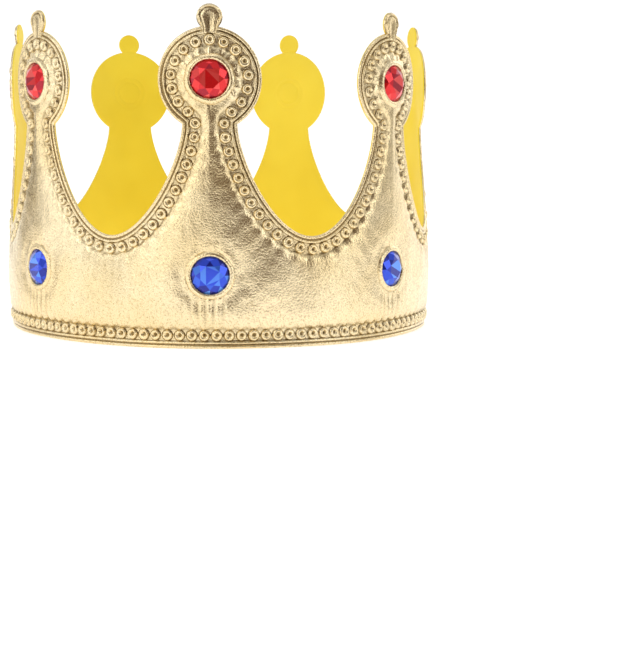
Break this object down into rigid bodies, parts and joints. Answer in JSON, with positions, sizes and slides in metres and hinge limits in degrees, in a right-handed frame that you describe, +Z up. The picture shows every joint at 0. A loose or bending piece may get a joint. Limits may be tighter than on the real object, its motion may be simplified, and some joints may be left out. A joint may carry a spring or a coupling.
{
  "type": "paper crown",
  "caption": "Padded gold foil party crown with a beaded pressed border, round finials and cut gems, lined in yellow and closed at the back with hook-and-loop tape.",
  "frame": {"origin": "centre of the plan box at the bottom rim", "axes": "+Z up from the bottom rim to the points, -Y towards the front point, +Y towards the closure at the back"},
  "size_m": [0.1949, 0.1926, 0.1371],
  "materials": {
    "gold_cover": "satin metallised foil on padded fabric, heat-pressed, crinkled",
    "yellow_lining": "smooth matte",
    "red_gem": "clear glossy, cut in facets",
    "blue_gem": "clear glossy, cut in facets",
    "hook_tape": "woven nylon hooks",
    "loop_tape": "brushed nylon loops"
  },
  "bodies": {
    "root": {"gold_cover": "gold_cover", "yellow_lining": "yellow_lining", "hook_tape": "hook_tape", "loop_tape": "loop_tape", "red_gem_1": "red_gem", "red_gem_2": "red_gem", "red_gem_3": "red_gem", "red_gem_4": "red_gem", "red_gem_5": "red_gem", "red_gem_6": "red_gem", "red_gem_7": "red_gem", "blue_gem_1": "blue_gem", "blue_gem_2": "blue_gem", "blue_gem_3": "blue_gem", "blue_gem_4": "blue_gem", "blue_gem_5": "blue_gem", "blue_gem_6": "blue_gem", "blue_gem_7": "blue_gem"}
  },
  "joints": []
}
